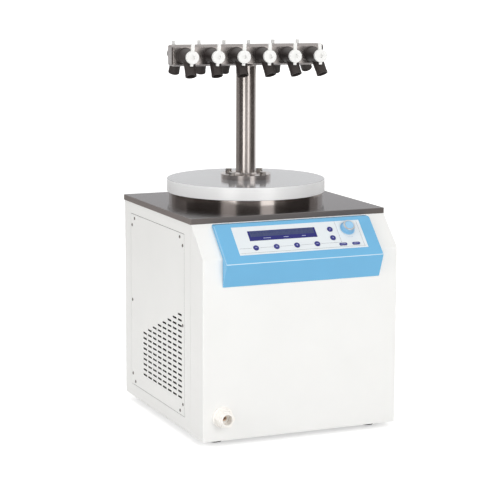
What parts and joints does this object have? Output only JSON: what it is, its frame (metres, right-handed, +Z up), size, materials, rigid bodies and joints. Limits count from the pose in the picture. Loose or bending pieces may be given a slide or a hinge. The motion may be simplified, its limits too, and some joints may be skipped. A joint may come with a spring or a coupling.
{
  "type": "freeze dryer",
  "caption": "Benchtop freeze dryer: boxy cabinet with a sloped control console, a lidded cold-trap chamber and a T-shaped column manifold with rubber flask valves",
  "frame": {"origin": "middle of the box on the floor, under the feet", "axes": "+Z up; the control console faces -Y; +X is to the right of a person facing the console; +Y to the back"},
  "size_m": [0.453, 0.544, 0.8252],
  "materials": {
    "cabinet_paint": "smooth white powder coat",
    "worktop_steel": "polished stainless sheet",
    "screw_steel": "zinc plated",
    "foot_rubber": "matt black",
    "chamber_steel": "turned and polished stainless",
    "seal_rubber": "matt black",
    "foam": "closed-cell foam",
    "copper": "plain copper",
    "lid_aluminium": "satin anodised",
    "column_steel": "polished stainless",
    "bolt_steel": "bright stainless",
    "manifold_steel": "polished stainless",
    "valve_rubber": "moulded black neoprene",
    "handle_plastic": "moulded white",
    "console_plastic": "moulded light blue",
    "overlay_film": "pale printed film",
    "display": "dark blue window",
    "board_green": "coated circuit board",
    "key_plastic": "moulded dark blue",
    "encoder_steel": "nickel plated",
    "dial_plastic": "moulded blue",
    "dial_chrome": "bright ring",
    "fitting_plastic": "moulded ivory",
    "hose_plastic": "drain hose",
    "pipe_steel": "stainless tube",
    "inlet_plastic": "moulded black",
    "rocker_plastic": "moulded black",
    "compressor_paint": "black enamel",
    "fin_aluminium": "plain fins",
    "galvanized": "galvanised sheet",
    "motor_paint": "dark enamel",
    "fan_plastic": "moulded black"
  },
  "bodies": {
    "machine": {"base_tray": "cabinet_paint", "cabinet_frame": "cabinet_paint", "left_panel": "cabinet_paint", "right_panel": "cabinet_paint", "rear_panel": "cabinet_paint", "front_cover": "cabinet_paint", "worktop": "worktop_steel", "panel_screws": "screw_steel", "rubber_feet": "foot_rubber", "chamber_pot": "chamber_steel", "lid_gasket": "seal_rubber", "insulation_jacket": "foam", "evaporator_coil": "copper", "lid_plate": "lid_aluminium", "manifold_column": "column_steel", "flange_bolts": "bolt_steel", "manifold_box": "manifold_steel", "front_valve_bodies": "valve_rubber", "rear_valve_bodies": "valve_rubber", "console_housing": "console_plastic", "console_overlay": "overlay_film", "lcd_module": "display", "control_board": "board_green", "dial_encoder": "encoder_steel", "drain_fitting": "fitting_plastic", "drain_pipe": "hose_plastic", "vacuum_pipe": "pipe_steel", "pump_port": "pipe_steel", "power_inlet": "inlet_plastic", "compressor": "compressor_paint", "air_condenser": "fin_aluminium", "fan_shroud": "galvanized", "fan_motor": "motor_paint", "refrigerant_pipes": "copper"},
    "front_handle_1": {"front_handle_1": "handle_plastic"},
    "front_handle_2": {"front_handle_2": "handle_plastic"},
    "front_handle_3": {"front_handle_3": "handle_plastic"},
    "front_handle_4": {"front_handle_4": "handle_plastic"},
    "front_handle_5": {"front_handle_5": "handle_plastic"},
    "front_handle_6": {"front_handle_6": "handle_plastic"},
    "rear_handle_1": {"rear_handle_1": "handle_plastic"},
    "rear_handle_2": {"rear_handle_2": "handle_plastic"},
    "rear_handle_3": {"rear_handle_3": "handle_plastic"},
    "rear_handle_4": {"rear_handle_4": "handle_plastic"},
    "rear_handle_5": {"rear_handle_5": "handle_plastic"},
    "rear_handle_6": {"rear_handle_6": "handle_plastic"},
    "round_key_1": {"round_key_1": "key_plastic"},
    "round_key_2": {"round_key_2": "key_plastic"},
    "round_key_3": {"round_key_3": "key_plastic"},
    "round_key_4": {"round_key_4": "key_plastic"},
    "round_key_5": {"round_key_5": "key_plastic"},
    "round_key_6": {"round_key_6": "key_plastic"},
    "oblong_key_1": {"oblong_key_1": "key_plastic"},
    "oblong_key_2": {"oblong_key_2": "key_plastic"},
    "dial_shaft": {"dial_shaft": "encoder_steel"},
    "dial": {"dial_knob": "dial_plastic", "dial_ring": "dial_chrome", "dial_cap": "key_plastic"},
    "fan_rotor": {"fan_rotor": "fan_plastic"},
    "switch_rocker": {"switch_rocker": "rocker_plastic"}
  },
  "joints": [
    {"name": "front_handle_1_turn", "type": "hinge", "parent": "machine", "child": "front_handle_1", "pos_m": [-0.14647, 0.05432, 0.7965], "axis": [-0.1184, -0.993, 0], "range_deg": [0, 180]},
    {"name": "front_handle_2_turn", "type": "hinge", "parent": "machine", "child": "front_handle_2", "pos_m": [-0.08887, 0.04745, 0.7965], "axis": [-0.1184, -0.993, 0], "range_deg": [0, 180]},
    {"name": "front_handle_3_turn", "type": "hinge", "parent": "machine", "child": "front_handle_3", "pos_m": [-0.03128, 0.04058, 0.7965], "axis": [-0.1184, -0.993, 0], "range_deg": [0, 180]},
    {"name": "front_handle_4_turn", "type": "hinge", "parent": "machine", "child": "front_handle_4", "pos_m": [0.02631, 0.03371, 0.7965], "axis": [-0.1184, -0.993, 0], "range_deg": [0, 180]},
    {"name": "front_handle_5_turn", "type": "hinge", "parent": "machine", "child": "front_handle_5", "pos_m": [0.0839, 0.02685, 0.7965], "axis": [-0.1184, -0.993, 0], "range_deg": [0, 180]},
    {"name": "front_handle_6_turn", "type": "hinge", "parent": "machine", "child": "front_handle_6", "pos_m": [0.14149, 0.01998, 0.7965], "axis": [-0.1184, -0.993, 0], "range_deg": [0, 180]},
    {"name": "rear_handle_1_turn", "type": "hinge", "parent": "machine", "child": "rear_handle_1", "pos_m": [-0.14149, 0.09602, 0.7965], "axis": [0.1184, 0.993, 0], "range_deg": [0, 180]},
    {"name": "rear_handle_2_turn", "type": "hinge", "parent": "machine", "child": "rear_handle_2", "pos_m": [-0.0839, 0.08915, 0.7965], "axis": [0.1184, 0.993, 0], "range_deg": [0, 180]},
    {"name": "rear_handle_3_turn", "type": "hinge", "parent": "machine", "child": "rear_handle_3", "pos_m": [-0.02631, 0.08229, 0.7965], "axis": [0.1184, 0.993, 0], "range_deg": [0, 180]},
    {"name": "rear_handle_4_turn", "type": "hinge", "parent": "machine", "child": "rear_handle_4", "pos_m": [0.03128, 0.07542, 0.7965], "axis": [0.1184, 0.993, 0], "range_deg": [0, 180]},
    {"name": "rear_handle_5_turn", "type": "hinge", "parent": "machine", "child": "rear_handle_5", "pos_m": [0.08887, 0.06855, 0.7965], "axis": [0.1184, 0.993, 0], "range_deg": [0, 180]},
    {"name": "rear_handle_6_turn", "type": "hinge", "parent": "machine", "child": "rear_handle_6", "pos_m": [0.14647, 0.06168, 0.7965], "axis": [0.1184, 0.993, 0], "range_deg": [0, 180]},
    {"name": "round_key_1_press", "type": "slide", "parent": "machine", "child": "round_key_1", "axis": [0, 0.712, -0.7022], "range_m": [0, 0.0006], "stiffness_N_per_m": 1500},
    {"name": "round_key_2_press", "type": "slide", "parent": "machine", "child": "round_key_2", "axis": [0, 0.712, -0.7022], "range_m": [0, 0.0006], "stiffness_N_per_m": 1500},
    {"name": "round_key_3_press", "type": "slide", "parent": "machine", "child": "round_key_3", "axis": [0, 0.712, -0.7022], "range_m": [0, 0.0006], "stiffness_N_per_m": 1500},
    {"name": "round_key_4_press", "type": "slide", "parent": "machine", "child": "round_key_4", "axis": [0, 0.712, -0.7022], "range_m": [0, 0.0006], "stiffness_N_per_m": 1500},
    {"name": "round_key_5_press", "type": "slide", "parent": "machine", "child": "round_key_5", "axis": [0, 0.712, -0.7022], "range_m": [0, 0.0006], "stiffness_N_per_m": 1500},
    {"name": "round_key_6_press", "type": "slide", "parent": "machine", "child": "round_key_6", "axis": [0, 0.712, -0.7022], "range_m": [0, 0.0006], "stiffness_N_per_m": 1500},
    {"name": "oblong_key_1_press", "type": "slide", "parent": "machine", "child": "oblong_key_1", "axis": [0, 0.712, -0.7022], "range_m": [0, 0.0006], "stiffness_N_per_m": 1500},
    {"name": "oblong_key_2_press", "type": "slide", "parent": "machine", "child": "oblong_key_2", "axis": [0, 0.712, -0.7022], "range_m": [0, 0.0006], "stiffness_N_per_m": 1500},
    {"name": "dial_press", "type": "slide", "parent": "machine", "child": "dial_shaft", "axis": [0, 0.712, -0.7022], "range_m": [0, 0.0005], "stiffness_N_per_m": 3000},
    {"name": "dial_turn", "type": "hinge", "parent": "dial_shaft", "child": "dial", "pos_m": [0.1183, -0.21442, 0.43928], "axis": [0, -0.712, 0.7022], "continuous": true},
    {"name": "fan_spin", "type": "hinge", "parent": "machine", "child": "fan_rotor", "pos_m": [-0.1607, -0.03, 0.128], "axis": [1, 0, 0], "continuous": true},
    {"name": "switch_rock", "type": "hinge", "parent": "machine", "child": "switch_rocker", "pos_m": [-0.095, 0.2325, 0.09375], "axis": [-1, 0, 0], "range_deg": [0, 14]}
  ]
}
